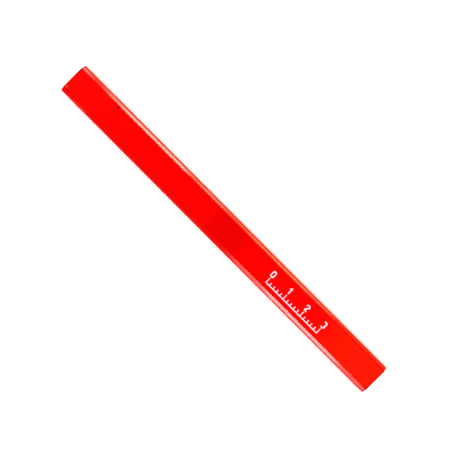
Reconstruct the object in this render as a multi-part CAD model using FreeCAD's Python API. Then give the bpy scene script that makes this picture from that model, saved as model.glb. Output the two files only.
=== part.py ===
import FreeCAD, Part

import math
import os

# A flat carpenter pencil, new and unsharpened, lying on its lower flat. Millimetres.
# The origin is the middle of the underside. X runs along the pencil, with the printed scale near
# the +X end. Y runs across the broad flats, and Z is up through the thickness.

# Casing: two glued wooden slats, planed to a flat octagon.
casing_length = 180.0
casing_width = 14.55
casing_thickness = 6.75
facet_across = 2.0  # width that each sloping facet takes from a broad flat
facet_down = 1.8  # height that it takes from a narrow side
crease_radius = 0.2  # between a broad flat and a facet
shoulder_radius = 1.9  # between a facet and a narrow side

# Lead, and the glue that holds it and the slats.
lead_width = 5.0
lead_thickness = 2.0
lead_corner_radius = 0.3
lead_clearance = 0.08  # filled with glue all round the lead
slat_gap = 0.08  # filled with glue between the slats

# Coats over the casing. The ends are trimmed after coating, so they stay bare.
primer_thickness = 0.05
lacquer_thickness = 0.10

# Printed centimetre scale on the upper flat.
ink_thickness = 0.025
scale_centimetres = 3
scale_end_margin = 31.7  # from the last tick to the +X end of the pencil
print_offset = -0.3  # from the middle of the flat to the middle of the print, across the pencil
baseline_width = 0.42
tick_spacing = 2
tick_width = 0.38
tick_length = 1.7
centimetre_tick_length = 2.7
numeral_height = 3.2
numeral_width = 2.0
numeral_stroke = 0.54
numeral_gap = 0.5  # between a long tick and the numeral over it

millimetres_per_centimetre = 10
centre_z = primer_thickness + lacquer_thickness + casing_thickness / 2
coated_top_z = centre_z + casing_thickness / 2 + primer_thickness + lacquer_thickness
scale_length = scale_centimetres * millimetres_per_centimetre
scale_start_x = casing_length / 2 - scale_end_margin - scale_length
print_width = centimetre_tick_length + numeral_gap + numeral_height
scale_baseline_y = print_offset - print_width / 2
quadrants = ((1, 1), (-1, 1), (-1, -1), (1, -1))  # signs of Y and Z, once round the section


def point_towards(start, goal, distance):
    """Returns the point at a distance from start on the straight line to goal."""
    direction = goal.sub(start)
    direction.normalize()
    return start.add(direction.multiply(distance))


def rounded_polygon(corners, radii):
    """Makes a closed wire through the corners, with a tangent arc of the given radius at each."""
    arcs = []
    for index, corner in enumerate(corners):
        before = corners[index - 1]
        after = corners[(index + 1) % len(corners)]
        opening = before.sub(corner).getAngle(after.sub(corner))
        tangent_length = radii[index] / math.tan(opening / 2)
        arc_start = point_towards(corner, before, tangent_length)
        arc_end = point_towards(corner, after, tangent_length)
        chord_middle = arc_start.add(arc_end).multiply(0.5)
        centre_distance = radii[index] / math.sin(opening / 2)
        arc_middle = point_towards(corner, chord_middle, centre_distance - radii[index])
        arcs.append((arc_start, arc_middle, arc_end))
    edges = []
    for index, (arc_start, arc_middle, arc_end) in enumerate(arcs):
        edges.append(Part.Arc(arc_start, arc_middle, arc_end).toShape())
        edges.append(Part.LineSegment(arc_end, arcs[(index + 1) % len(arcs)][0]).toShape())
    return Part.Wire(edges)


def casing_outline():
    """Outline of the bare casing in the YZ plane at the -X end."""
    half_width = casing_width / 2
    half_thickness = casing_thickness / 2
    flat_edge = half_width - facet_across
    side_edge = half_thickness - facet_down
    corners = []
    radii = []
    for side_y, side_z in quadrants:
        crease = (side_y * flat_edge, side_z * half_thickness, crease_radius)
        shoulder = (side_y * half_width, side_z * side_edge, shoulder_radius)
        pair = (shoulder, crease) if side_y * side_z > 0 else (crease, shoulder)
        for y, z, radius in pair:
            corners.append(FreeCAD.Vector(-casing_length / 2, y, centre_z + z))
            radii.append(radius)
    return rounded_polygon(corners, radii)


def lead_outline():
    """Outline of the lead in the YZ plane at the -X end."""
    half_width = lead_width / 2
    half_thickness = lead_thickness / 2
    corners = []
    for side_y, side_z in quadrants:
        y = side_y * half_width
        z = centre_z + side_z * half_thickness
        corners.append(FreeCAD.Vector(-casing_length / 2, y, z))
    return rounded_polygon(corners, [lead_corner_radius] * len(corners))


def full_length(outline):
    """Extrudes an outline from the -X end to the +X end of the pencil."""
    return Part.Face(outline).extrude(FreeCAD.Vector(casing_length, 0, 0))


def section_block(low_y, high_y, low_z, high_z):
    """Full-length block between two heights and two places across the pencil."""
    corner = FreeCAD.Vector(-casing_length / 2, low_y, low_z)
    return Part.makeBox(casing_length, high_y - low_y, high_z - low_z, corner)


def casing_pieces(casing, bonded_lead):
    """Slats and the glue lines between them, each cut round the lead and its glue."""
    low_joint = centre_z - slat_gap / 2
    high_joint = centre_z + slat_gap / 2
    half_width = casing_width / 2
    top = centre_z + casing_thickness / 2
    bottom = centre_z - casing_thickness / 2
    blocks = {
        "upper_slat": section_block(-half_width, half_width, high_joint, top),
        "lower_slat": section_block(-half_width, half_width, bottom, low_joint),
        "glue_line_left": section_block(0, half_width, low_joint, high_joint),
        "glue_line_right": section_block(-half_width, 0, low_joint, high_joint),
    }
    return {node: casing.common(block).cut(bonded_lead) for node, block in blocks.items()}


def ink_patch(face):
    """Raises a printed shape off the coated upper flat by the thickness of the ink."""
    return face.extrude(FreeCAD.Vector(0, 0, ink_thickness))


def ink_bar(low_x, low_y, length_x, length_y):
    """Rectangular bar of ink on the upper flat."""
    corner = FreeCAD.Vector(low_x, low_y, coated_top_z)
    return Part.makeBox(length_x, length_y, ink_thickness, corner)


def scale_ticks():
    """Baseline with evenly spaced ticks, longer at whole centimetres."""
    first_edge = scale_start_x - tick_width / 2
    baseline = ink_bar(first_edge, scale_baseline_y, scale_length + tick_width, baseline_width)
    ticks = []
    for distance in range(0, scale_length + 1, tick_spacing):
        whole_centimetre = distance % millimetres_per_centimetre == 0
        length = centimetre_tick_length if whole_centimetre else tick_length
        ticks.append(ink_bar(first_edge + distance, scale_baseline_y, tick_width, length))
    return baseline.fuse(ticks).removeSplitter()


def pen_path(steps):
    """Joins line steps, of 2 points, and arc steps, of 3 points, into one wire."""
    edges = []
    for step in steps:
        points = [FreeCAD.Vector(x, y, coated_top_z) for x, y in step]
        curve = Part.Arc(*points) if len(points) == 3 else Part.LineSegment(*points)
        edges.append(curve.toShape())
    return Part.Wire(edges)


def pen_stroke(path):
    """Widens an open path into a face as wide as the numerals' stroke."""
    one_side = path.makeOffset2D(-numeral_stroke / 2, openResult=True)
    return one_side.makeOffset2D(numeral_stroke, fill=True, openResult=True)


def zero(left, middle, right, bottom, top):
    """Upright slot shape: two half circles joined by straight sides."""
    high = top - (right - middle)
    low = bottom + (right - middle)
    loop = pen_path([
        [(left, high), (middle, top), (right, high)],
        [(right, high), (right, low)],
        [(right, low), (middle, bottom), (left, low)],
        [(left, low), (left, high)],
    ])
    outside = Part.Face(loop.makeOffset2D(numeral_stroke / 2))
    inside = Part.Face(loop.makeOffset2D(-numeral_stroke / 2))
    return outside.cut(inside)


def one(left, middle, right, bottom, top):
    """Upright stem with a short flag."""
    return pen_stroke(pen_path([
        [(left, top - (middle - left)), (middle, top)],
        [(middle, top), (middle, bottom)],
    ]))


def two(left, middle, right, bottom, top):
    """Half circle over a slanting stroke and a flat foot."""
    high = top - (right - middle)
    return pen_stroke(pen_path([
        [(left, high), (middle, top), (right, high)],
        [(right, high), (left, bottom)],
        [(left, bottom), (right, bottom)],
    ]))


def three(left, middle, right, bottom, top):
    """Two bowls, one over the other, that meet at a waist."""
    waist = (bottom + top) / 2
    bowl = (top - bottom) / 4
    spine = right - bowl
    return pen_stroke(pen_path([
        [(left, top), (spine, top)],
        [(spine, top), (right, top - bowl), (spine, waist)],
        [(spine, waist), (right, bottom + bowl), (spine, bottom)],
        [(spine, bottom), (left, bottom)],
    ]))


def scale_numerals():
    """Numeral centred over the long tick at each whole centimetre."""
    half_stroke = numeral_stroke / 2
    bottom = scale_baseline_y + centimetre_tick_length + numeral_gap + half_stroke
    top = bottom + numeral_height - numeral_stroke
    reach = numeral_width / 2 - half_stroke
    numerals = []
    for centimetre, numeral in enumerate((zero, one, two, three)):
        middle = scale_start_x + centimetre * millimetres_per_centimetre
        numerals.append(ink_patch(numeral(middle - reach, middle, middle + reach, bottom, top)))
    return Part.makeCompound(numerals)


def build_pencil():
    """Returns the solid of every node, by name."""
    bare_outline = casing_outline()
    primed_outline = bare_outline.makeOffset2D(primer_thickness)
    lacquered_outline = bare_outline.makeOffset2D(primer_thickness + lacquer_thickness)
    casing = full_length(bare_outline)
    primed = full_length(primed_outline)
    lacquered = full_length(lacquered_outline)
    lead = full_length(lead_outline())
    bonded_lead = full_length(lead_outline().makeOffset2D(lead_clearance))
    pieces = casing_pieces(casing, bonded_lead)
    pieces["graphite_lead"] = lead
    pieces["lead_bond"] = bonded_lead.cut(lead)
    pieces["primer_coat"] = primed.cut(casing)
    pieces["red_lacquer"] = lacquered.cut(primed)
    pieces["scale_ticks"] = scale_ticks()
    pieces["scale_numerals"] = scale_numerals()
    return pieces


os.makedirs("parts", exist_ok=True)
for node, shape in build_pencil().items():
    shape.exportStep(f"parts/{node}.step")
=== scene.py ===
import math

import bmesh
import bpy
import numpy as np
from mathutils import Matrix, Vector, geometry, noise


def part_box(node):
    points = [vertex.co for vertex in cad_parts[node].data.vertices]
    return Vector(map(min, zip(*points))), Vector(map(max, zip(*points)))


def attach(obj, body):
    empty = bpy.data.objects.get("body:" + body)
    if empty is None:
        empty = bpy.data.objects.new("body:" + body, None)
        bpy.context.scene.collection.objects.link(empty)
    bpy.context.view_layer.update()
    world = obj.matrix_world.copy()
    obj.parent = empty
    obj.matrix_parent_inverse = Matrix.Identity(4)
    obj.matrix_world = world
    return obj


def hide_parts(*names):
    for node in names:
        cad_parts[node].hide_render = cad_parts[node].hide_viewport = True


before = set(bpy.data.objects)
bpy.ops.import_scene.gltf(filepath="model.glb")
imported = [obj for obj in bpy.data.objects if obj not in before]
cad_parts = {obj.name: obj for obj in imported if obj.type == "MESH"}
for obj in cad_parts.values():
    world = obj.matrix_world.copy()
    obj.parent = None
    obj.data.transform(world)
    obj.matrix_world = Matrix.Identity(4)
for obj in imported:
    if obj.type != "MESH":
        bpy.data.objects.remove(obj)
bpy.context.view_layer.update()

# A flat carpenter pencil on its lower flat. Metres. X runs along the pencil, Y across the broad
# flats, and Z is up. The finished pieces ride on the one CAD body and stay inside its box.
MM = 0.001
BODY = "root"

# The section's corners, as the CAD outline has them. Its overall sizes come from the frame.
FACET_ACROSS = 2.0 * MM
FACET_DOWN = 1.8 * MM
CREASE_RADIUS = 0.2 * MM
SHOULDER_RADIUS = 1.9 * MM
LEAD_CORNER_RADIUS = 0.3 * MM

casing_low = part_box("lower_slat")[0]
casing_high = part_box("upper_slat")[1]
lead_low, lead_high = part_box("graphite_lead")
lacquer_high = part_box("red_lacquer")[1]
END_X = casing_high.x
CENTRE_Z = (casing_low.z + casing_high.z) / 2
HALF_THICKNESS = (casing_high.z - casing_low.z) / 2
HALF_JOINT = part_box("upper_slat")[0].z - CENTRE_Z
HALF_LEAD = (lead_high.z - lead_low.z) / 2
PRIMER_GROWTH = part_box("primer_coat")[1].y - casing_high.y
LACQUER_GROWTH = lacquer_high.y - casing_high.y
BOND_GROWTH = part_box("lead_bond")[1].y - lead_high.y
FLAT_EDGE = casing_high.y - FACET_ACROSS
QUADRANTS = ((1, 1), (-1, 1), (-1, -1), (1, -1))  # signs of Y and Z, once round the section

# Fineness of the meshes: spacing round an outline, over a sawn end and along X, and arc steps.
LACQUER_SPACING = 0.4 * MM
SLAT_SPACING = 0.22 * MM
SLAT_END_SPACING = 0.15 * MM
LEAD_SPACING = 0.14 * MM
LEAD_END_SPACING = 0.12 * MM
GLUE_SPACING = 0.16 * MM
BOND_SPACING = 0.3 * MM
PLAIN_FILM_STEP = 3 * MM
ROD_STEP = 4 * MM
LACQUER_ARC_STEPS = (5, 9)  # round a crease and round a shoulder
SLAT_ARC_STEPS = (3, 8)
LEAD_ARC_STEPS = 4
GRID_JITTER = 0.2  # of the spacing
GRID_CLEARANCE = 0.55  # of the spacing, from the outline
CAP_TOLERANCE = 1e-5  # in millimetres
SHARP_ANGLE = math.radians(40)
LACQUER_SHARP_ANGLE = math.radians(50)


# ---------------------------------------------------------------- outlines of the section

def rounded_outline(corners, radii, arc_steps, spacing):
    """Samples a polygon with rounded corners. Gives points, outward normals and a crown weight.

    The crown weight is 0 at the middle of each straight side and 1 at its ends and round the arcs.
    """
    points, normals, weights = [], [], []
    count = len(corners)
    arcs = []
    for index in range(count):
        corner = corners[index]
        before = (corners[index - 1] - corner).normalized()
        after = (corners[(index + 1) % count] - corner).normalized()
        opening = before.angle(after)
        centre = corner + (before + after).normalized() * radii[index] / math.sin(opening / 2)
        reach = radii[index] / math.tan(opening / 2)
        start = (corner + before * reach - centre).normalized()
        turn = start.angle_signed(corner + after * reach - centre)
        arcs.append((centre, radii[index], start, -turn))
    for index, (centre, radius, start, turn) in enumerate(arcs):
        for step in range(arc_steps[index] + 1):
            normal = start.copy()
            normal.rotate(Matrix.Rotation(turn * step / arc_steps[index], 2))
            points.append(centre + normal * radius)
            normals.append(normal)
            weights.append(1.0)
        next_centre, next_radius, next_start, _ = arcs[(index + 1) % count]
        side_start = points[-1]
        side_end = next_centre + next_start * next_radius
        steps = max(2, round((side_end - side_start).length / spacing))
        for step in range(1, steps):
            share = step / steps
            points.append(side_start.lerp(side_end, share))
            normals.append(next_start)
            weights.append((2 * share - 1) ** 2)
    return np.array(points), np.array(normals), np.array(weights)


def casing_outline(spacing, arc_steps):
    """Outline of the bare casing, with Y and Z as its two coordinates."""
    crease_steps, shoulder_steps = arc_steps
    corners, radii, steps = [], [], []
    for side_y, side_z in QUADRANTS:
        crease = (FLAT_EDGE, HALF_THICKNESS, CREASE_RADIUS, crease_steps)
        shoulder = (casing_high.y, HALF_THICKNESS - FACET_DOWN, SHOULDER_RADIUS, shoulder_steps)
        pair = (shoulder, crease) if side_y * side_z > 0 else (crease, shoulder)
        for y, z, radius, count in pair:
            corners.append(Vector((side_y * y, CENTRE_Z + side_z * z)))
            radii.append(radius)
            steps.append(count)
    return rounded_outline(corners, radii, steps, spacing)


def lead_outline(spacing):
    """Outline of the lead, with Y and Z as its two coordinates."""
    corners = [Vector((y * lead_high.y, CENTRE_Z + z * HALF_LEAD)) for y, z in QUADRANTS]
    radii = [LEAD_CORNER_RADIUS] * len(corners)
    return rounded_outline(corners, radii, [LEAD_ARC_STEPS] * len(corners), spacing)


def between(start, end, spacing):
    """Points strictly between two ends of a straight line."""
    steps = max(1, round((end - start).length / spacing))
    return [start.lerp(end, step / steps) for step in range(1, steps)]


def slat_outline(side, spacing):
    """Outline of one slat: the casing on one side of the glue joint, less the lead's groove."""
    joint = CENTRE_Z + HALF_JOINT
    clear = joint + spacing / 4
    casing = [Vector(p) for p in casing_outline(spacing, SLAT_ARC_STEPS)[0] if p[1] > clear]
    casing.sort(key=lambda p: -math.atan2(p.y - CENTRE_Z, p.x))
    lead_points, lead_normals, _ = lead_outline(spacing)
    groove = [Vector(p) for p in lead_points + lead_normals * BOND_GROWTH if p[1] > clear]
    groove.sort(key=lambda p: math.atan2(p.y - CENTRE_Z, p.x))
    groove_edge = lead_high.y + BOND_GROWTH
    right, left = Vector((casing_high.y, joint)), Vector((-casing_high.y, joint))
    inner_right, inner_left = Vector((groove_edge, joint)), Vector((-groove_edge, joint))
    loop = [left] + casing + [right] + between(right, inner_right, spacing) + [inner_right]
    loop += groove + [inner_left] + between(inner_left, left, spacing)
    if side < 0:
        loop = [Vector((p.x, 2 * CENTRE_Z - p.y)) for p in loop]
    return loop


def box_outline(low, high, spacing):
    """Rectangular outline of a box, with Y and Z as its two coordinates."""
    corners = [Vector(c) for c in ((low.y, low.z), (high.y, low.z), (high.y, high.z), (low.y, high.z))]
    loop = []
    for index, corner in enumerate(corners):
        loop.append(corner)
        loop += between(corner, corners[(index + 1) % len(corners)], spacing)
    return loop


# ---------------------------------------------------------------- mesh building

def add_piece(name, vertices, faces, node, slot, material, sharp_angle=SHARP_ANGLE):
    """Makes the object of a finished piece, hangs it on the body and hides the CAD node that it
    replaces.
    """
    mesh = bpy.data.meshes.new(name)
    mesh.from_pydata([tuple(v) for v in vertices], [], faces)
    shaped = bmesh.new()
    shaped.from_mesh(mesh)
    bmesh.ops.recalc_face_normals(shaped, faces=shaped.faces)
    shaped.to_mesh(mesh)
    shaped.free()
    mesh.polygons.foreach_set("use_smooth", [True] * len(mesh.polygons))
    mesh.set_sharp_from_angle(angle=sharp_angle)
    mesh.materials.append(material)
    piece = bpy.data.objects.new(name, mesh)
    bpy.context.collection.objects.link(piece)
    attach(piece, BODY)
    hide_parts(node)


def ring_faces(first, second, count):
    """Quads between two rings of vertices that start at the given indices."""
    faces = []
    for index in range(count):
        after = (index + 1) % count
        faces.append((first + index, first + after, second + after, second + index))
    return faces


def film_stations(end_x, spacing, edge_profile):
    """Places along X with the inset of the skin there: finely spaced near the sawn ends."""
    places = [(-end_x + distance, inset) for distance, inset in edge_profile]
    reach = edge_profile[-1][0]
    count = round(2 * (end_x - reach) / spacing)
    step = 2 * (end_x - reach) / count
    places += [(-end_x + reach + step * index, 0.0) for index in range(1, count)]
    places += [(end_x - distance, inset) for distance, inset in reversed(edge_profile)]
    return places


def film_mesh(outline, growths, end_x, spacing, edge_profile, relief, chip):
    """Closed tube between two growths of an outline.

    relief(x, y, z, weight) sinks the outer skin, and chip(y, z, end) sets its trimmed edges back.
    """
    points, normals, weights = outline
    inner_growth, outer_growth = growths
    count = len(points)
    skin = points + normals * outer_growth
    vertices, faces = [], []
    stations = film_stations(end_x, spacing, edge_profile)
    for x, inset in stations:
        end = math.copysign(1, x)
        fade = max(0.0, 1 - (end_x - abs(x)) / CHIP_FADE)
        for (y, z), (normal_y, normal_z), weight in zip(skin, normals, weights):
            depth = inset + relief(x, y, z, weight)
            back = end * fade * chip(y, z, end) if fade else 0.0
            vertices.append((x - back, y - normal_y * depth, z - normal_z * depth))
    for index in range(len(stations) - 1):
        faces += ring_faces(index * count, (index + 1) * count, count)
    inner = points + normals * inner_growth
    inner_start = len(vertices)
    for x in (-end_x, end_x):
        vertices += [(x, y, z) for y, z in inner]
    faces += ring_faces(inner_start, inner_start + count, count)
    faces += ring_faces(0, inner_start, count)
    faces += ring_faces((len(stations) - 1) * count, inner_start + count, count)
    return vertices, faces


def inside_points(loop, spacing, seed):
    """Jittered grid of points inside a closed outline, clear of its edge."""
    ring = np.array([tuple(p) for p in loop])
    low, high = ring.min(axis=0), ring.max(axis=0)
    across = np.arange(low[0], high[0], spacing)
    up = np.arange(low[1], high[1], spacing * math.sqrt(3) / 2)
    rows = []
    for row, z in enumerate(up):
        rows.append(np.column_stack((across + spacing / 2 * (row % 2), np.full(len(across), z))))
    grid = np.vstack(rows)
    grid += np.random.RandomState(seed).uniform(-GRID_JITTER, GRID_JITTER, grid.shape) * spacing
    side = np.roll(ring, -1, axis=0) - ring
    inside = np.zeros(len(grid), bool)
    nearest = np.full(len(grid), np.inf)
    for (y0, z0), (dy, dz) in zip(ring, side):
        crosses = (grid[:, 1] >= z0) != (grid[:, 1] >= z0 + dz)
        if dz:
            inside ^= crosses & (grid[:, 0] < y0 + (grid[:, 1] - z0) * dy / dz)
        share = ((grid[:, 0] - y0) * dy + (grid[:, 1] - z0) * dz) / (dy * dy + dz * dz)
        share = np.clip(share, 0, 1)
        away = np.hypot(grid[:, 0] - y0 - share * dy, grid[:, 1] - z0 - share * dz)
        nearest = np.minimum(nearest, away)
    return [Vector(p) for p in grid[inside & (nearest > spacing * GRID_CLEARANCE)]]


def rod_mesh(loop, cap_spacing, relief, seed):
    """Full-length bar of one outline, finely meshed at its ends, which relief(y, z, end) sinks."""
    count = len(loop)
    inner = inside_points(loop, cap_spacing, seed)
    flat = [p * (1 / MM) for p in loop + inner]
    edges = [(i, (i + 1) % count) for i in range(count)]
    made = geometry.delaunay_2d_cdt(flat, edges, [list(range(count))], 1, CAP_TOLERANCE)
    cap_points, cap_faces = made[0], made[2]
    assert len(cap_points) == len(flat), "the cap's outline crosses itself"
    stations = np.linspace(-END_X, END_X, round(2 * END_X / ROD_STEP) + 1)
    vertices, faces = [], []
    for index, x in enumerate(stations):
        end = -1 if index == 0 else (1 if index == len(stations) - 1 else 0)
        for p in loop:
            sunk = relief(p.x, p.y, end) if end else 0.0
            vertices.append((x - end * sunk, p.x, p.y))
    for index in range(len(stations) - 1):
        faces += ring_faces(index * count, (index + 1) * count, count)
    for end, ring_start in ((-1, 0), (1, (len(stations) - 1) * count)):
        inner_start = len(vertices)
        vertices += [(end * (END_X - relief(p.x, p.y, end)), p.x, p.y) for p in inner]
        for face in cap_faces:
            faces.append(tuple(ring_start + v if v < count else inner_start + v - count for v in face))
    return vertices, faces


# ---------------------------------------------------------------- shapes of the pieces

# Noise cells to the metre along each axis. In a sawn end the third number sets the two ends apart.
SLOW_WAVES = (45, 320, 320)
QUICK_WAVES = (160, 600, 600)
COARSE_CHIPS = (900, 900, 30)
FINE_CHIPS = (2600, 2600, 50)
WOOD_SAW_MARKS = (4200, 350, 3)
WOOD_PORES = (3600, 3600, 1)
LEAD_SAW_MARKS = (5200, 500, 5)
LEAD_CRUMBS = (2500, 2500, 1)
GLUE_DIPS = (1800, 900, 4)

# The lacquer's skin: how far its sides are crowned and waved, and how its trimmed edges are worn.
LACQUER_CROWN = 0.03 * MM
WAVE_DEPTH = 0.0018 * MM
CHIP_FADE = 0.6 * MM
COARSE_CHIP = 0.12 * MM
FINE_CHIP = 0.03 * MM
CHIP_THRESHOLD = 0.12
# Distances from the end of a film, each with the inset of its skin there.
FILM_EDGE = [
    (0.0, 0.04 * MM), (0.008 * MM, 0.018 * MM), (0.025 * MM, 0.005 * MM), (0.05 * MM, 0.0),
    (0.15 * MM, 0.0), (0.3 * MM, 0.0), (0.6 * MM, 0.0),
]
SQUARE_EDGE = [(0.0, 0.0), (0.1 * MM, 0.0)]

# The sawn wood: growth rings round a pith below the pencil, saw marks at a slant, and pores.
PITH_Y = 3.5 * MM
PITH_Z = -42 * MM
RING_RADIAN = 0.19 * MM  # distance from the pith to each radian of the rings' wave
SAW_SLANT = (0.94, 0.34)  # cosine and sine of the marks' angle
WOOD_END_DEPTH = 0.014 * MM
RING_DEPTH = 0.004 * MM
WOOD_SAW_DEPTH = 0.008 * MM
PORE_DEPTH = 0.05 * MM
PORE_THRESHOLD = 0.25

# The sawn lead and glue.
LEAD_END_DEPTH = 0.008 * MM
LEAD_SAW_DEPTH = 0.004 * MM
LEAD_SAW_LEAN = 15 / 52  # rise of the marks to each step across
CRUMB_DEPTH = 0.5 * MM
CRUMB_START = 0.93  # share of the way out from the middle of the lead
CRUMB_MEAN = 1.2  # times the depth, with the noise swinging round it
GLUE_END_DEPTH = 0.03 * MM
GLUE_DIP_DEPTH = 0.012 * MM
BOND_END_DEPTH = 0.03 * MM


def noise_at(place, cells, shift=0.0):
    """Noise between about -1 and 1, its third coordinate shifted to give a different pattern."""
    x, y, z = (value * fineness for value, fineness in zip(place, cells))
    return noise.noise(Vector((x, y, z + shift)))


def lacquer_relief(x, y, z, weight):
    """Depth of the lacquer's skin under the true outline: crowned sides and slow waves."""
    wave = noise_at((x, y, z), SLOW_WAVES) + 0.5 * noise_at((x, y, z), QUICK_WAVES, 7)
    return LACQUER_CROWN * weight + WAVE_DEPTH * (1 + wave)


def lacquer_chip(y, z, end):
    """How far the saw has chipped the lacquer back from the end of the pencil."""
    coarse = max(0.0, noise_at((y, z, end), COARSE_CHIPS) - CHIP_THRESHOLD)
    fine = max(0.0, noise_at((y, z, end), FINE_CHIPS))
    return COARSE_CHIP * coarse + FINE_CHIP * fine


def no_relief(*place):
    return 0.0


def wood_end_relief(y, z, end):
    """Sawn end grain: growth rings that stand a little proud, saw marks and open pores."""
    cosine, sine = SAW_SLANT
    ring = math.sin(math.hypot(y - PITH_Y, z - PITH_Z) / RING_RADIAN)
    saw = noise_at((z * cosine - y * sine, y * cosine + z * sine, end), WOOD_SAW_MARKS)
    pore = max(0.0, noise_at((y, z, end), WOOD_PORES, 9) - PORE_THRESHOLD)
    return WOOD_END_DEPTH + RING_DEPTH * ring + WOOD_SAW_DEPTH * saw + PORE_DEPTH * pore


def lead_end_relief(y, z, end):
    """Sawn end of the lead: finer marks than the wood's, and a crumbled edge."""
    edge = max(abs(y) / lead_high.y, abs(z - CENTRE_Z) / (lead_high.z - CENTRE_Z))
    saw = noise_at((z - y * LEAD_SAW_LEAN, y, end), LEAD_SAW_MARKS)
    crumb = max(0.0, edge - CRUMB_START) * (CRUMB_MEAN + noise_at((y, z, end), LEAD_CRUMBS))
    return LEAD_END_DEPTH + LEAD_SAW_DEPTH * saw + CRUMB_DEPTH * crumb


def glue_end_relief(y, z, end):
    """Glue shrinks back a little behind the sawn wood."""
    return GLUE_END_DEPTH + GLUE_DIP_DEPTH * noise_at((y, z, end), GLUE_DIPS)


# ---------------------------------------------------------------- material helpers

def new_material(name, **values):
    """Principled material with the given socket values, and its node tree and shader."""
    material = bpy.data.materials.new(name)
    material.use_nodes = True
    shader = material.node_tree.nodes["Principled BSDF"]
    for socket, value in values.items():
        shader.inputs[socket.replace("_", " ")].default_value = value
    return material, material.node_tree, shader


def node(tree, kind, inputs=(), **settings):
    """Adds a node. inputs maps a socket's name or number to a value or to another node's output."""
    made = tree.nodes.new(kind)
    for name, value in settings.items():
        setattr(made, name, value)
    for name, value in dict(inputs).items():
        if isinstance(value, bpy.types.NodeSocket):
            tree.links.new(value, made.inputs[name])
        else:
            made.inputs[name].default_value = value
    return made


def place_mm(tree, scale=(1, 1, 1), shift=(0, 0, 0)):
    """Position on the object in millimetres, stretched and shifted for a pattern."""
    source = node(tree, "ShaderNodeTexCoord").outputs["Object"]
    size = tuple(value / MM for value in scale)
    inputs = {"Vector": source, "Scale": size, "Location": shift}
    return node(tree, "ShaderNodeMapping", inputs).outputs[0]


def axis_value(tree, axis):
    """One coordinate of the position, in millimetres."""
    return node(tree, "ShaderNodeSeparateXYZ", {0: place_mm(tree)}).outputs[axis]


def speckle(tree, stretch, scale, detail, rough):
    """Noise between 0 and 1, with scale times stretch as its cells to the millimetre on each axis."""
    inputs = {"Vector": place_mm(tree, stretch), "Scale": scale, "Detail": detail, "Roughness": rough}
    return node(tree, "ShaderNodeTexNoise", inputs).outputs[0]


def pits(tree, stretch, scale):
    """Distance from the nearest of many scattered points."""
    inputs = {"Vector": place_mm(tree, stretch), "Scale": scale}
    return node(tree, "ShaderNodeTexVoronoi", inputs).outputs["Distance"]


def remap(tree, value, low, high, to_low=0.0, to_high=1.0, kind="SMOOTHSTEP"):
    inputs = {"Value": value, "From Min": low, "From Max": high, "To Min": to_low, "To Max": to_high}
    return node(tree, "ShaderNodeMapRange", inputs, interpolation_type=kind).outputs[0]


def roughness_from(tree, pattern, span, roughness):
    """Roughness that goes evenly between two values as a pattern goes through a span."""
    return remap(tree, pattern, *span, *roughness, "LINEAR")


def maths(tree, operation, first, second=0.0):
    return node(tree, "ShaderNodeMath", {0: first, 1: second}, operation=operation).outputs[0]


def vector_maths(tree, operation, first, second):
    return node(tree, "ShaderNodeVectorMath", {0: first, 1: second}, operation=operation).outputs[0]


def distance_from(tree, value, centre):
    return maths(tree, "ABSOLUTE", maths(tree, "SUBTRACT", value, centre))


def blend_colour(tree, share, first, second):
    inputs = {0: share, 6: first, 7: second}
    return node(tree, "ShaderNodeMix", inputs, data_type="RGBA", blend_type="MIX").outputs[2]


def bumped(tree, layers):
    """Stacks bump layers, each a height, a strength and a depth in millimetres."""
    normal = None
    for height, strength, depth in layers:
        inputs = {"Height": height, "Strength": strength, "Distance": depth * MM}
        if normal is not None:
            inputs["Normal"] = normal
        normal = node(tree, "ShaderNodeBump", inputs).outputs[0]
    return normal


def finish_material(tree, shader, colour, roughness=None, normal=None):
    for name, output in (("Base Color", colour), ("Roughness", roughness), ("Normal", normal)):
        if output is not None:
            tree.links.new(output, shader.inputs[name])


FRAY_FINENESS = 2.2  # noise cells across a spot's radius
SPOT_CORE, SPOT_RIM = 0.7, 1.25  # shares of the radius where a spot starts and ends fading


def spot(tree, centre, radius, stretch=(1, 1, 1), ragged=0.3):
    """1 inside a small ragged spot round a place given in millimetres, and 0 outside it."""
    place = place_mm(tree)
    inputs = {"Vector": place, "Scale": FRAY_FINENESS / radius, "Detail": 3.0}
    fray = node(tree, "ShaderNodeTexNoise", inputs).outputs["Color"]
    centred = vector_maths(tree, "SUBTRACT", fray, (0.5, 0.5, 0.5))
    moved_by = vector_maths(tree, "MULTIPLY", centred, (radius * ragged * 2,) * 3)
    moved = vector_maths(tree, "ADD", place, moved_by)
    offset = vector_maths(tree, "MULTIPLY", vector_maths(tree, "SUBTRACT", moved, centre), stretch)
    length = node(tree, "ShaderNodeVectorMath", {0: offset}, operation="LENGTH").outputs["Value"]
    return remap(tree, length, radius * SPOT_CORE, radius * SPOT_RIM, 1.0, 0.0)


# ---------------------------------------------------------------- materials

RED = (0.60, 0.0005, 0.0003, 1)
RED_DEEP = (0.57, 0.0005, 0.0003, 1)
# Darker red for painted shade round the middle of the flats and along the creases.
RED_PAINTED_SHADE = (0.525, 0.0004, 0.0003, 1)
RED_DARK = (0.20, 0.0006, 0.0006, 1)
# Orange red for a painted highlight near the -X end.
RED_PAINTED_GLINT = (0.62, 0.03, 0.006, 1)
NEARLY_BLACK = (0.008, 0.001, 0.001, 1)
INK_WHITE, INK_THIN = (0.54, 0.49, 0.55, 1), (0.50, 0.40, 0.44, 1)
EARLY_WOOD, LATE_WOOD = (0.66, 0.46, 0.27, 1), (0.50, 0.30, 0.15, 1)
WOOD_FIBRE, WOOD_PORE = (0.38, 0.22, 0.11, 1), (0.22, 0.12, 0.06, 1)
SAWN_WOOD, SAW_MARK = (0.40, 0.25, 0.13, 1), (0.30, 0.18, 0.09, 1)
LEAD_DUST = (0.10, 0.095, 0.09, 1)
GRAPHITE_DARK, GRAPHITE_PALE = (0.022, 0.022, 0.024, 1), (0.06, 0.06, 0.066, 1)
GRAPHITE_SCORE = (0.10, 0.10, 0.11, 1)
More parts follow.
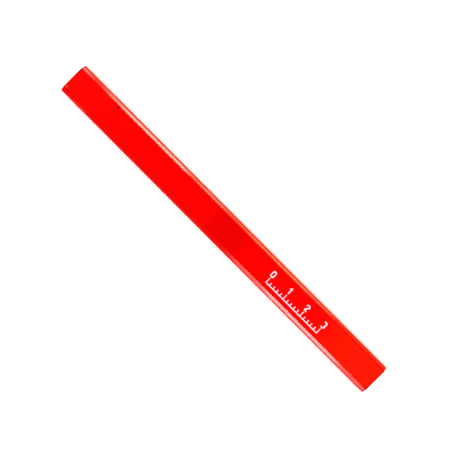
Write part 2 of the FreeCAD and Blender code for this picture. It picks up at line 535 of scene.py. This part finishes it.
GLUE_PALE, GLUE_DARK, GLUE_BUBBLE = (0.46, 0.29, 0.12, 1), (0.30, 0.17, 0.07, 1), (0.75, 0.62, 0.42, 1)
PRIMER_WHITE, PRIMER_STAIN = (0.74, 0.70, 0.63, 1), (0.62, 0.52, 0.44, 1)
PRIMER_TOOTH = (0.5, 0.40, 0.33, 1)
FLOOR_WHITE, FLOOR_SHADE = (0.95, 0.95, 0.95, 1), (0.93, 0.93, 0.93, 1)

# Roughness at the low and the high end of a material's pattern.
FILM_ROUGHNESS = (0.075, 0.13)
INK_ROUGHNESS = (0.35, 0.55)
WOOD_ROUGHNESS = (0.62, 0.85)
GRAPHITE_ROUGHNESS = (0.36, 0.56)
GLUE_ROUGHNESS = (0.3, 0.5)
PRIMER_ROUGHNESS = (0.7, 0.9)
# Most of a noise pattern lies in the first span, and nearly all of the haze in the second.
NOISE_SPAN = (0.3, 0.7)
HAZE_SPAN = (0.3, 0.8)

# Noise patterns: stretch on each axis, cells to the millimetre, detail and roughness.
EVENLY = (1, 1, 1)
FILM_CLOUD = ((0.05, 0.25, 0.25), 1.0, 3.0, 0.5)
FILM_HAZE = ((0.12, 0.4, 0.4), 1.0, 4.0, 0.6)
FILM_PEEL = ((1, 1.4, 1.4), 1.5, 2.0, 0.5)
FILM_GRAIN = ((0.06, 2.2, 2.2), 1.0, 3.0, 0.6)
RIM_RAG = (EVENLY, 0.9, 4.0, 0.6)
INK_COVER = (EVENLY, 6.0, 3.0, 0.6)
INK_CLOUD = (EVENLY, 1.2, 2.0, 0.5)
WOOD_GRAIN = ((0.12, 9, 9), 1.0, 4.0, 0.65)
WOOD_SCORES = ((1, 0.5, 5.5), 1.0, 3.0, 0.6)
DUST_CLOUD = (EVENLY, 0.8, 4.0, 0.6)
GRAPHITE_GRAIN = (EVENLY, 7.0, 4.0, 0.7)
GRAPHITE_SCORES = ((0.4, 0.9, 8), 1.0, 3.0, 0.6)
GLUE_CLOUD = ((0.6, 1.4, 1.4), 2.0, 4.0, 0.6)
PRIMER_GRAIN = ((0.7, 1, 1), 8.0, 3.0, 0.7)
PRIMER_CLOUD = ((0.2, 1, 1), 1.0, 3.0, 0.5)
FLOOR_CLOUD = ((0.01, 0.01, 0.01), 1.0, 2.0, 0.5)
CARD_CLOUD = ((0.02, 0.02, 0.02), 1.0, 2.0, 0.5)
# Scattered pits: stretch on each axis and cells to the millimetre.
WOOD_PITS = ((0.2, 1, 1), 5.5)
GLUE_PITS = (EVENLY, 9.0)

# Where the lacquer's look changes, in millimetres: each pair is where a change starts and ends.
FLAT_EDGE_MM = FLAT_EDGE / MM
FLAT_FADE = (FLAT_EDGE_MM - 0.2, FLAT_EDGE_MM + 0.3)
# Painted shade along the creases: the crease's place across, where the shade fades out, and its
# strength.
CREASE_MM = (FLAT_EDGE + LACQUER_GROWTH / 2) / MM
CREASE_SHADE_FADE = (0.1, 0.5)
CREASE_SHADE_SHARE = 0.9
# Painted shade round the middle of the flats: its middle along X, and where it fades out.
PAINTED_SHADE_MIDDLE_X = 2.0
PAINTED_SHADE_FADE = (6.0, 12.0)
# Darkening of the trimmed edges, in millimetres: its reach along X, and where across it grows strong.
RIM_DARK_REACH = (0.55, 1.3)
RIM_DARK_FADE = (0.3, 1.0)  # shares of the reach
RIM_DARK_SHARES = (0.2, 0.95)
START_DARK_SIDE = (1.6, 2.6)
FINISH_DARK_SIDE = (-2.2, -3.6)
START_TO_FINISH = (-1.0, 1.0)  # where along X one end's darkening gives way to the other's
# Bumps in the lacquer, in millimetres.
GRAIN_DEPTH = 0.0012
PEEL_DEPTH = 0.0015
NICK_DEPTH = 0.006
# Small marks in the lacquer, dark spots and one painted highlight: place and radius in millimetres,
# stretch, strength and colour.
LACQUER_MARKS = (
    ((78.55, -3.6, 7.04), 0.42, EVENLY, 0.85, RED_DARK),
    ((-87.4, -5.55, 6.9), 0.5, (0.7, 1, 1), 0.5, RED_DARK),
    # A painted highlight: an orange glint near the -X end.
    ((-89.2, -4.5, 7.04), 0.7, (0.8, 1.3, 1), 0.9, RED_PAINTED_GLINT),
    ((88.9, -5.1, 7.0), 1.2, (0.9, 2, 1), 0.3, RED_DARK),
    ((89.0, 5.1, 7.0), 0.9, (0.9, 2, 1), 0.2, RED_DARK),
)
# The nick, darker and rougher than the film round it.
NICK_PLACE = (-67.25, 4.55, 7.04)
NICK_RADIUS = 0.26
NICK_STRETCH = (0.62, 1.0, 1.0)
NICK_RAGGEDNESS = 0.45
NICK_ROUGHNESS = 0.1  # added to the film's

# The wood's sawn ends darken close to the saw cut, and are dusty close to the lead.
SAWN_FADE = (END_X / MM - 0.6, END_X / MM - 0.1)
SAWN_SHARE = 0.35
DUST_REACH = 0.9
DUST_SHARE = 0.55


def lacquer_colour_and_shade(tree):
    """Red that varies with the film's thickness, with painted shade round the middle of the flats and
    along the creases.
    """
    cloud = speckle(tree, *FILM_CLOUD)
    colour = blend_colour(tree, remap(tree, cloud, 0.35, 0.75, 0.0, 0.5), RED, RED_DEEP)
    # Painted shade: darker red round the middle of the flats.
    across = maths(tree, "ABSOLUTE", axis_value(tree, 1))
    on_flat = remap(tree, across, *FLAT_FADE, 1.0, 0.0)
    along = distance_from(tree, axis_value(tree, 0), PAINTED_SHADE_MIDDLE_X)
    painted_shade = maths(tree, "MULTIPLY", remap(tree, along, *PAINTED_SHADE_FADE, 1.0, 0.0), on_flat)
    colour = blend_colour(tree, painted_shade, colour, RED_PAINTED_SHADE)
    # Painted shade: a darker line along the creases.
    crease = remap(tree, distance_from(tree, across, CREASE_MM), *CREASE_SHADE_FADE, CREASE_SHADE_SHARE, 0.0)
    return blend_colour(tree, crease, colour, RED_PAINTED_SHADE)


def dark_end_rim(tree):
    """Share of darker red along the trimmed edges, strong on one side of each end."""
    along, signed = axis_value(tree, 0), axis_value(tree, 1)
    from_end = maths(tree, "SUBTRACT", END_X / MM, maths(tree, "ABSOLUTE", along))
    rag = speckle(tree, *RIM_RAG)
    reach = remap(tree, rag, *NOISE_SPAN, *RIM_DARK_REACH, "LINEAR")
    rim = remap(tree, maths(tree, "DIVIDE", from_end, reach), *RIM_DARK_FADE, 1.0, 0.0)
    near_start = remap(tree, along, *START_TO_FINISH, 1.0, 0.0)
    near_finish = remap(tree, along, *START_TO_FINISH)
    start_side = maths(tree, "MULTIPLY", remap(tree, signed, *START_DARK_SIDE), near_start)
    finish_side = maths(tree, "MULTIPLY", remap(tree, signed, *FINISH_DARK_SIDE), near_finish)
    darkened = remap(tree, maths(tree, "ADD", start_side, finish_side), 0.0, 1.0, *RIM_DARK_SHARES)
    return maths(tree, "MULTIPLY", rim, darkened)


def lacquer_material():
    """Red gloss lacquer: uneven film, orange peel, grain showing through, darker rims and dark spots,
    with painted shade and a painted highlight.
    """
    material, tree, shader = new_material("red_lacquer_gloss", IOR=1.5)
    colour = blend_colour(tree, dark_end_rim(tree), lacquer_colour_and_shade(tree), RED_DARK)
    for place, radius, stretch, strength, tint in LACQUER_MARKS:
        mark = spot(tree, place, radius, stretch)
        colour = blend_colour(tree, maths(tree, "MULTIPLY", mark, strength), colour, tint)
    nick = spot(tree, NICK_PLACE, NICK_RADIUS, NICK_STRETCH, NICK_RAGGEDNESS)
    colour = blend_colour(tree, nick, colour, NEARLY_BLACK)
    haze = speckle(tree, *FILM_HAZE)
    rough = roughness_from(tree, haze, HAZE_SPAN, FILM_ROUGHNESS)
    rough = maths(tree, "ADD", rough, maths(tree, "MULTIPLY", nick, NICK_ROUGHNESS))
    peel = speckle(tree, *FILM_PEEL)
    grain = speckle(tree, *FILM_GRAIN)
    normal = bumped(tree, [(grain, 1.0, GRAIN_DEPTH), (peel, 1.0, PEEL_DEPTH), (nick, 1.0, -NICK_DEPTH)])
    finish_material(tree, shader, colour, rough, normal)
    return material


def ink_material():
    """White pad-printed ink: opaque, a little uneven, with a few pinholes down to the red."""
    material, tree, shader = new_material("white_ink_print", IOR=1.45)
    cover = speckle(tree, *INK_COVER)
    thin = speckle(tree, *INK_CLOUD)
    white = blend_colour(tree, remap(tree, thin, 0.4, 0.8, 0.0, 0.35), INK_WHITE, INK_THIN)
    colour = blend_colour(tree, remap(tree, cover, 0.66, 0.72), white, RED)
    rough = roughness_from(tree, cover, NOISE_SPAN, INK_ROUGHNESS)
    finish_material(tree, shader, colour, rough, bumped(tree, [(cover, 0.8, 0.006)]))
    return material


def growth_rings(tree):
    """Rings round the pith, seen as bands on the sawn ends."""
    place = place_mm(tree, (0.12, 1, 1), (0, -PITH_Y / MM, -PITH_Z / MM))
    inputs = {"Vector": place, "Scale": 0.26, "Distortion": 1.6, "Detail": 2.0}
    settings = {"wave_type": "RINGS", "rings_direction": "X", "wave_profile": "SAW"}
    return node(tree, "ShaderNodeTexWave", inputs, **settings).outputs[0]


def lead_smears(tree):
    """Share of lead dust that the saw smeared over the wood round the lead."""
    out_y = maths(tree, "SUBTRACT", distance_from(tree, axis_value(tree, 1), 0.0), lead_high.y / MM)
    height = distance_from(tree, axis_value(tree, 2), CENTRE_Z / MM)
    out_z = maths(tree, "SUBTRACT", height, (lead_high.z - CENTRE_Z) / MM)
    outside = [maths(tree, "MAXIMUM", out, 0.0) for out in (out_y, out_z)]
    near_lead = remap(tree, maths(tree, "ADD", *outside), 0.0, DUST_REACH, DUST_SHARE, 0.0)
    smudge = speckle(tree, *DUST_CLOUD)
    return maths(tree, "MULTIPLY", near_lead, remap(tree, smudge, 0.35, 0.7))


def wood_material():
    """Pale close-grained wood: growth rings round a pith below, fibres along X, darker sawn ends."""
    material, tree, shader = new_material("casing_basswood")
    rings = remap(tree, growth_rings(tree), 0.45, 1.0, 0.0, 0.75)
    fibre = speckle(tree, *WOOD_GRAIN)
    pores = pits(tree, *WOOD_PITS)
    along = maths(tree, "ABSOLUTE", axis_value(tree, 0))
    saw = speckle(tree, *WOOD_SCORES)
    layers = (
        (remap(tree, fibre, 0.48, 0.72, 0.0, 0.6), WOOD_FIBRE),
        (remap(tree, pores, 0.0, 0.22, 0.55, 0.0), WOOD_PORE),
        (remap(tree, along, *SAWN_FADE, 0.0, SAWN_SHARE), SAWN_WOOD),
        (remap(tree, saw, 0.5, 0.75, 0.0, 0.3), SAW_MARK),
        (lead_smears(tree), LEAD_DUST),
    )
    colour = blend_colour(tree, rings, EARLY_WOOD, LATE_WOOD)
    for share, tint in layers:
        colour = blend_colour(tree, share, colour, tint)
    rough = roughness_from(tree, fibre, NOISE_SPAN, WOOD_ROUGHNESS)
    normal = bumped(tree, [(fibre, 0.7, 0.03), (saw, 0.6, 0.02), (pores, 0.5, 0.02)])
    finish_material(tree, shader, colour, rough, normal)
    return material


def graphite_material():
    """Dark graphite and clay with a soft metallic sheen, scored by the saw."""
    material, tree, shader = new_material("graphite_core", Metallic=0.3, IOR=1.5)
    grain = speckle(tree, *GRAPHITE_GRAIN)
    score = speckle(tree, *GRAPHITE_SCORES)
    colour = blend_colour(tree, remap(tree, grain, 0.3, 0.75), GRAPHITE_DARK, GRAPHITE_PALE)
    colour = blend_colour(tree, remap(tree, score, 0.52, 0.72, 0.0, 0.6), colour, GRAPHITE_SCORE)
    rough = roughness_from(tree, score, NOISE_SPAN, GRAPHITE_ROUGHNESS)
    normal = bumped(tree, [(grain, 0.6, 0.012), (score, 0.7, 0.012)])
    finish_material(tree, shader, colour, rough, normal)
    return material


def glue_material():
    """Amber wood glue, clouded with fine bubbles and wood dust."""
    material, tree, shader = new_material("amber_glue", IOR=1.48)
    cloud = speckle(tree, *GLUE_CLOUD)
    bubbles = pits(tree, *GLUE_PITS)
    colour = blend_colour(tree, remap(tree, cloud, 0.35, 0.7), GLUE_PALE, GLUE_DARK)
    colour = blend_colour(tree, remap(tree, bubbles, 0.05, 0.2, 0.4, 0.0), colour, GLUE_BUBBLE)
    rough = roughness_from(tree, cloud, NOISE_SPAN, GLUE_ROUGHNESS)
    normal = bumped(tree, [(cloud, 0.6, 0.01), (bubbles, 0.4, 0.006)])
    finish_material(tree, shader, colour, rough, normal)
    return material


def primer_material():
    """Chalky off-white primer with a fine tooth."""
    material, tree, shader = new_material("chalky_primer")
    tooth = speckle(tree, *PRIMER_GRAIN)
    stain = speckle(tree, *PRIMER_CLOUD)
    colour = blend_colour(tree, remap(tree, stain, 0.35, 0.7), PRIMER_WHITE, PRIMER_STAIN)
    colour = blend_colour(tree, remap(tree, tooth, 0.55, 0.75, 0.0, 0.3), colour, PRIMER_TOOTH)
    rough = roughness_from(tree, tooth, NOISE_SPAN, PRIMER_ROUGHNESS)
    finish_material(tree, shader, colour, rough, bumped(tree, [(tooth, 0.6, 0.008)]))
    return material


def floor_material():
    """Matt white sweep with a barely uneven tone."""
    material, tree, shader = new_material("floor_white", Roughness=0.9)
    tone = speckle(tree, *FLOOR_CLOUD)
    finish_material(tree, shader, blend_colour(tree, tone, FLOOR_WHITE, FLOOR_SHADE))
    return material


# ---------------------------------------------------------------- pieces

def add_coats(lacquer, primer):
    """The lacquer and the primer under it, as closed films over the casing."""
    outline = casing_outline(LACQUER_SPACING, LACQUER_ARC_STEPS)
    growths = (PRIMER_GROWTH, LACQUER_GROWTH)
    made = film_mesh(outline, growths, END_X, LACQUER_SPACING, FILM_EDGE, lacquer_relief, lacquer_chip)
    add_piece("lacquer_skin", *made, "red_lacquer", "red_lacquer", lacquer, LACQUER_SHARP_ANGLE)
    growths = (0.0, PRIMER_GROWTH)
    made = film_mesh(outline, growths, END_X, PLAIN_FILM_STEP, SQUARE_EDGE, no_relief, no_relief)
    add_piece("primer_film", *made, "primer_coat", "primer", primer)


def add_lead_glue(glue):
    """The glue film all round the lead, sunk a little at its ends."""
    outline = lead_outline(BOND_SPACING)
    end_x = END_X - BOND_END_DEPTH
    growths = (0.0, BOND_GROWTH)
    made = film_mesh(outline, growths, end_x, PLAIN_FILM_STEP, SQUARE_EDGE, no_relief, no_relief)
    add_piece("lead_glue_film", *made, "lead_bond", "glue", glue)


def add_slats(wood):
    for side, name, seed in ((1, "upper", 12), (-1, "lower", 10)):
        loop = slat_outline(side, SLAT_SPACING)
        made = rod_mesh(loop, SLAT_END_SPACING, wood_end_relief, seed)
        add_piece(f"{name}_slat_wood", *made, f"{name}_slat", "casing_wood", wood)


def add_lead(graphite):
    loop = [Vector(p) for p in lead_outline(LEAD_SPACING)[0]]
    made = rod_mesh(loop, LEAD_END_SPACING, lead_end_relief, seed=21)
    add_piece("lead_core", *made, "graphite_lead", "graphite", graphite)


def add_joint_glue(glue):
    for name in ("left", "right"):
        loop = box_outline(*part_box(f"glue_line_{name}"), GLUE_SPACING)
        made = rod_mesh(loop, GLUE_SPACING, glue_end_relief, seed=31)
        add_piece(f"joint_glue_{name}", *made, f"glue_line_{name}", "glue", glue)


def dress_print(ink):
    for name in ("scale_ticks", "scale_numerals"):
        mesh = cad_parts[name].data
        mesh.materials.clear()
        mesh.materials.append(ink)


# ---------------------------------------------------------------- floor, light and camera

FLOOR_SIZE = 60
CAMERA_HEIGHT = 335 * MM  # over the top of the pencil
# In millimetres, as Blender gives them.
CAMERA_LENS = 63.6
SENSOR_WIDTH = 36
# Position of the pencil's image in the frame: turned a little past 45 degrees and off centre.
AXIS_TURN = math.radians(45.13)
CAMERA_RIGHT = 0.906 * MM
CAMERA_UP = 1.225 * MM

# Suns light matt surfaces only: azimuth and elevation in degrees, and the floor's radiance from each.
SUNS = ((0, 50, 0.23), (180, 50, 0.23), (90, 48, 0.48), (270, 48, 0.48))
SUN_SPREAD = 50
# Key boxes over the two ends show in the gloss only.
KEY_AZIMUTHS = (0, 180)
KEY_ELEVATION = 42
KEY_RADIANCE = 6.0
KEY_DISTANCE = 1.1
KEY_SIZE = 0.45
WARM_BOX_PLACE = (0.42, 0, 0.8)
WARM_BOX_SIZE = (0.5, 0.44)
WARM_BOX_RADIANCE = 0.25
WARM_COLOUR = (1, 0.9, 0.02)

# Side cards make the highlights along the facets. They stand in layers in front of black flags.
CARD_Y = 400 * MM
LAYER_GAP = 4 * MM
# Name, side, reach along X, heights, radiance and colour.
SIDE_CARDS = (
    ("plus_y_ramp", 1, (-75, -66), (18, 98), 4.0, (1, 1, 0.85)),
    ("plus_y_bright", 1, (-66, -27.5), (18, 98), 9.6, (1, 1, 0.88)),
    ("plus_y_second", 1, (-21, -6), (14, 78), 3.6, (1, 1, 0.65)),
    ("plus_y_warm", 1, (-78, 58), (11, 66), 3.0, (1, 1, 0.42)),
    ("plus_y_hump", 1, (10, 46), (20, 82), 2.2, (1, 1, 0.5)),
    ("plus_y_yellow", 1, (56, 92), (0, 70), 0.5, (1, 1, 0.1)),
    ("plus_y_tip", 1, (-97, -87), (14, 100), 5.4, (1, 1, 0.75)),
    ("plus_y_gap", 1, (-88, -74), (14, 88), 0.35, (1, 1, 0.6)),
    ("minus_y_bright", -1, (31, 76), (3, 96), 7.3, (1, 1, 1)),
    ("minus_y_soft", -1, (12, 98), (3, 88), 2.9, (1, 1, 0.75)),
    ("minus_y_streak", -1, (-85, -79), (0, 12), 2.0, (1, 1, 0.4)),
)

# Flags and ground cards show in reflections only.
FLAG_Y = 460 * MM
SIDE_FLAG_SIZE = (1.2, 0.36)
SIDE_FLAG_COLOUR = (0, 0, 0)
END_FLAG_X = 0.65
END_FLAG_SIZE = (0.8, 0.3)
END_FLAG_COLOUR = (0.4, 0.4, 0.4)
GROUND_LIFT = 0.2 * MM
GROUND_START = 9 * MM
GROUND_LENGTH = 0.9
GROUND_COLOURS = (("plus_y", 1, (0.9, 0.8, 0.25)), ("minus_y", -1, (0.12, 0.1, 0.03)))
BRIGHT_GROUND_PLACE = (0.12, -0.16)
BRIGHT_GROUND_SIZE = (0.21, 0.30)
BRIGHT_GROUND_COLOUR = (0.9, 0.8, 0.7)
CARD_UNEVENNESS = 0.94

# The sky's strength: the sines of elevation between which it fades, and its shares there.
LOW_FADE = (0.3, 0.5, 1.0, 0.45)
HIGH_FADE = (0.6, 0.85, 1.0, 0.0)


def towards(azimuth, elevation):
    """Unit vector from the pencil in a direction given in degrees."""
    a, e = math.radians(azimuth), math.radians(elevation)
    return Vector((math.cos(a) * math.cos(e), math.sin(a) * math.cos(e), math.sin(e)))


def aimed(thing, place, aim):
    """Places a lamp or card and turns its face to a point."""
    thing.location = place
    thing.rotation_mode = "QUATERNION"
    thing.rotation_quaternion = (Vector(aim) - Vector(place)).to_track_quat("-Z", "Y")


def add_floor():
    bpy.ops.mesh.primitive_plane_add(size=FLOOR_SIZE, location=(0, 0, 0))
    ground = bpy.context.object
    ground.name = "floor"
    ground.data.materials.append(floor_material())


def soft_box(name, place, aim, size, radiance, colour=(1, 1, 1)):
    """Area light of a given radiance that shows in the gloss, not to the camera or matt surfaces."""
    light = bpy.data.lights.new(name, "AREA")
    light.shape = "RECTANGLE"
    light.size, light.size_y = size
    light.energy = radiance * math.pi * size[0] * size[1]
    light.color = colour
    lamp = bpy.data.objects.new(name, light)
    bpy.context.collection.objects.link(lamp)
    aimed(lamp, place, aim)
    lamp.visible_camera = False
    lamp.visible_diffuse = False


def soft_sun(name, azimuth, elevation, floor_radiance):
    """Distant soft light, seen by matt surfaces only, which gives a white floor a stated radiance."""
    light = bpy.data.lights.new(name, "SUN")
    light.angle = math.radians(SUN_SPREAD)
    light.energy = floor_radiance * math.pi / math.sin(math.radians(elevation))
    lamp = bpy.data.objects.new(name, light)
    bpy.context.collection.objects.link(lamp)
    aimed(lamp, towards(azimuth, elevation), (0, 0, 0))
    lamp.visible_glossy = False


def side_card(name, side, reach, heights, radiance, colour, layer):
    """Low light card beside the pencil. Its reflection covers a stretch of a facet, given along X.

    The reach and the card's two heights are in millimetres.
    """
    spread = (1 + CARD_Y / CAMERA_HEIGHT) * MM
    middle = (reach[0] + reach[1]) / 2 * spread
    height = (heights[0] + heights[1]) / 2 * MM
    size = ((reach[1] - reach[0]) * spread, (heights[1] - heights[0]) * MM)
    place = (middle, side * (CARD_Y + layer * LAYER_GAP), height)
    soft_box(name, place, (middle, 0, height), size, radiance, colour)


def reflection_card(name, place, aim, size, colour):
    """Plain card that shows only in reflections: it lights and shades nothing else."""
    black = (0, 0, 0, 1)
    values = {"Base_Color": black, "Roughness": 1.0, "Specular_IOR_Level": 0.0, "Emission_Strength": 1.0}
    material, tree, shader = new_material(name, **values)
    tone = speckle(tree, *CARD_CLOUD)
    dim = tuple(value * CARD_UNEVENNESS for value in colour)
    tree.links.new(blend_colour(tree, tone, (*colour, 1), (*dim, 1)), shader.inputs["Emission Color"])
    bpy.ops.mesh.primitive_plane_add(size=1)
    card = bpy.context.object
    card.name = name
    card.scale = (*size, 1)
    aimed(card, place, aim)
    card.data.materials.append(material)
    for kind in ("visible_camera", "visible_diffuse", "visible_transmission", "visible_shadow"):
        setattr(card, kind, False)


def standing_flag(name, x, y, size, colour):
    """Reflection card that stands on the floor and faces the pencil."""
    height = size[1] / 2
    reflection_card(name, (x, y, height), (0, 0, height), size, colour)


def ground_card(name, place, lift, size, colour):
    """Reflection card that lies just over the floor."""
    reflection_card(name, (*place, lift), (*place, 1), size, colour)


def add_suns():
    for azimuth, elevation, floor_radiance in SUNS:
        soft_sun(f"sun_{azimuth}", azimuth, elevation, floor_radiance)


def add_key_boxes():
    for azimuth in KEY_AZIMUTHS:
        place = towards(azimuth, KEY_ELEVATION) * KEY_DISTANCE
        soft_box(f"key_{azimuth}", place, (0, 0, 0), (KEY_SIZE, KEY_SIZE), KEY_RADIANCE)


def add_side_cards():
    for layer, card in enumerate(SIDE_CARDS):
        side_card(*card, layer)


def add_reflection_cards():
    """Flags on all four sides, and cards on the floor."""
    for name, side, colour in GROUND_COLOURS:
        standing_flag(f"flag_{name}", 0, side * FLAG_Y, SIDE_FLAG_SIZE, SIDE_FLAG_COLOUR)
        place = (0, side * (GROUND_START + FLAG_Y) / 2)
        ground_card(f"ground_{name}", place, GROUND_LIFT, (GROUND_LENGTH, FLAG_Y - GROUND_START), colour)
    lift = 2 * GROUND_LIFT
    ground_card("ground_bright", BRIGHT_GROUND_PLACE, lift, BRIGHT_GROUND_SIZE, BRIGHT_GROUND_COLOUR)
    for name, side in (("plus_x", 1), ("minus_x", -1)):
        standing_flag(f"flag_{name}", side * END_FLAG_X, 0, END_FLAG_SIZE, END_FLAG_COLOUR)


def add_warm_box():
    """Faint warm light from overhead on the gloss of the flat."""
    soft_box("warm_overhead", WARM_BOX_PLACE, (0, 0, 0), WARM_BOX_SIZE, WARM_BOX_RADIANCE, WARM_COLOUR)


def add_world():
    """Pale all round at the horizon, dim higher up and dark overhead, as under a studio ceiling."""
    studio = bpy.data.worlds.new("studio")
    bpy.context.scene.world = studio
    studio.use_nodes = True
    tree = studio.node_tree
    direction = node(tree, "ShaderNodeTexCoord").outputs["Generated"]
    height = node(tree, "ShaderNodeSeparateXYZ", {0: direction}).outputs["Z"]
    low, high = (remap(tree, height, *fade) for fade in (LOW_FADE, HIGH_FADE))
    background = tree.nodes["Background"]
    background.inputs["Color"].default_value = (1, 1, 1, 1)
    tree.links.new(maths(tree, "MULTIPLY", low, high), background.inputs["Strength"])


def add_camera():
    """Looks straight down, with the pencil's +X end to the lower right of the frame."""
    data = bpy.data.cameras.new("camera")
    data.sensor_width = SENSOR_WIDTH
    data.lens = CAMERA_LENS
    view = bpy.data.objects.new("camera", data)
    bpy.context.collection.objects.link(view)
    right = Vector((math.cos(AXIS_TURN), math.sin(AXIS_TURN), 0))
    up = Vector((-math.sin(AXIS_TURN), math.cos(AXIS_TURN), 0))
    over = Vector((0, 0, lacquer_high.z + CAMERA_HEIGHT))
    view.location = right * CAMERA_RIGHT + up * CAMERA_UP + over
    view.rotation_mode = "QUATERNION"
    view.rotation_quaternion = Matrix((right, up, Vector((0, 0, 1)))).transposed().to_quaternion()
    bpy.context.scene.camera = view


add_camera()
glue_look = glue_material()
add_coats(lacquer_material(), primer_material())
add_lead_glue(glue_look)
add_slats(wood_material())
add_lead(graphite_material())
add_joint_glue(glue_look)
dress_print(ink_material())
add_floor()
add_suns()
add_key_boxes()
add_side_cards()
add_reflection_cards()
add_warm_box()
add_world()
bpy.context.scene.view_settings.view_transform = "Standard"
